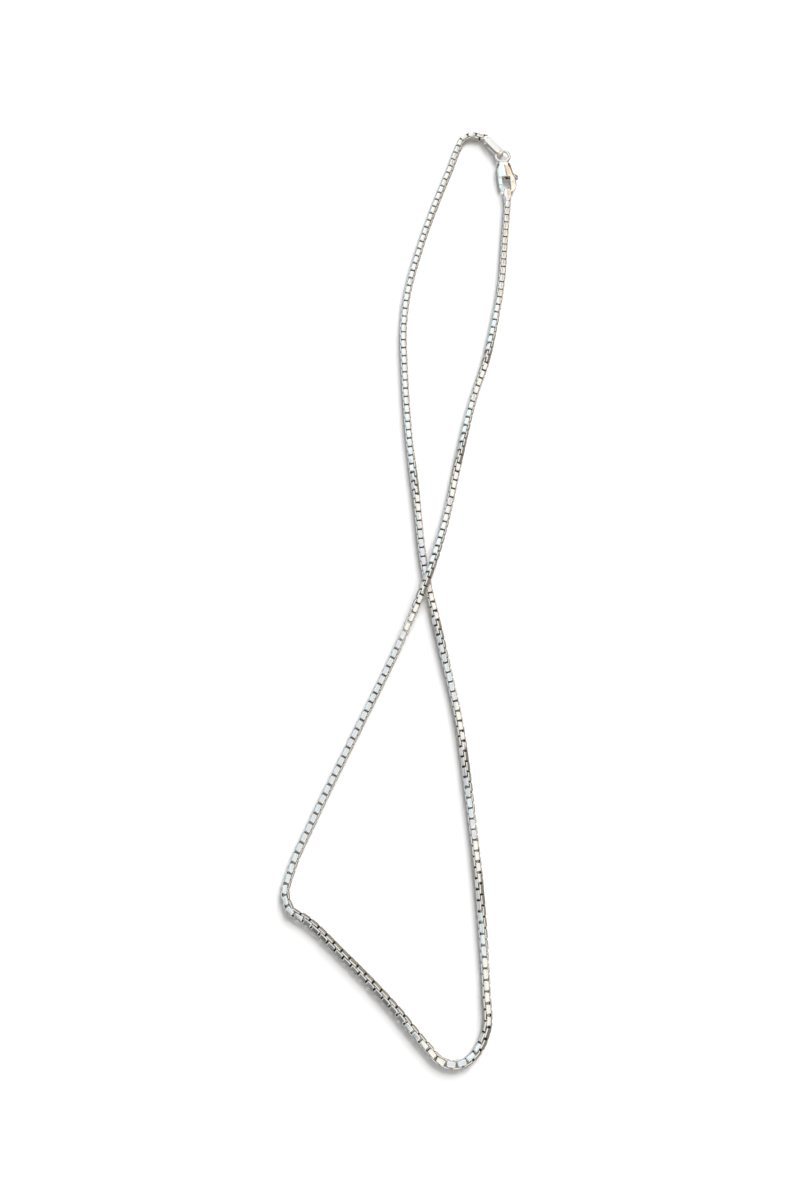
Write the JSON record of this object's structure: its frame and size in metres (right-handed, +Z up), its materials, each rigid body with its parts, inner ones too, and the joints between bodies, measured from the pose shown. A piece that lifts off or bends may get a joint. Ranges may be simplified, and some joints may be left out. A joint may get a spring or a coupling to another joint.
{
  "type": "box chain",
  "caption": "Slim box chain necklace of square strip links with flat end links and a small lobster clasp, lying crossed over itself.",
  "frame": {"origin": "centre of the box round the necklace, on the table that it lies on", "axes": "+Z up from the table, +Y from the bottom of the loop towards the clasp, +X to the right as it is looked down on"},
  "size_m": [0.0593, 0.2611, 0.0046],
  "materials": {
    "chain_silver": "polished silver strip",
    "link_silver": "polished silver strip",
    "clasp_silver": "polished cast silver"
  },
  "bodies": {
    "necklace": {"chain": "chain_silver", "short_end_link": "link_silver", "long_end_link": "link_silver", "clasp_body": "clasp_silver", "clasp_pin": "clasp_silver"},
    "lever": {"clasp_lever": "clasp_silver"}
  },
  "joints": [
    {"name": "clasp_lever_hinge", "type": "hinge", "parent": "necklace", "child": "lever", "pos_m": [0.02616, 0.11699, 0.00125], "axis": [0, 0, 1], "range_deg": [0, 20], "stiffness_Nm_per_rad": 0.005}
  ]
}
